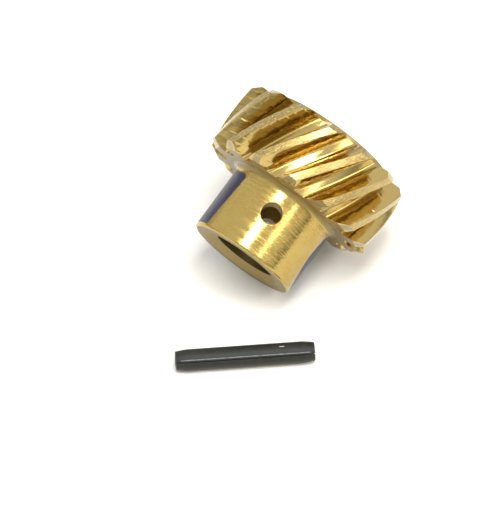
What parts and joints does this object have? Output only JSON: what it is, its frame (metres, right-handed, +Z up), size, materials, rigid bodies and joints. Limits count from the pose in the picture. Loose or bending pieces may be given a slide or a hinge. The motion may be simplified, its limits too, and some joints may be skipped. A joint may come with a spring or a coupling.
{
  "type": "helical drive gear with spring pin",
  "caption": "Bronze right-hand helical gear with an integral bored hub, cross-drilled for the black slotted spring pin that lies beside it.",
  "frame": {"origin": "on the table, at the middle of the box round both pieces", "axes": "+Z up from the table, +Y away from the viewer, +X to the viewer's right; the gear lies on its hub edge and one tooth corner with its axis at 26.2 degrees to the table, and the pin lies in front of it"},
  "size_m": [0.0416, 0.051, 0.0365],
  "materials": {
    "bronze": "turned hub with fine lathe marks, hobbed teeth, a band of dark blue marking ink on the hub",
    "black_steel": "black oxide with a thin oil film"
  },
  "bodies": {
    "gear": {"helical_gear": "bronze"},
    "pin": {"spring_pin": "black_steel"}
  },
  "joints": [
    {"name": "pin_lift", "type": "slide", "parent": "gear", "child": "pin", "axis": [0, 0, 1], "range_m": [0, 0.03]}
  ]
}
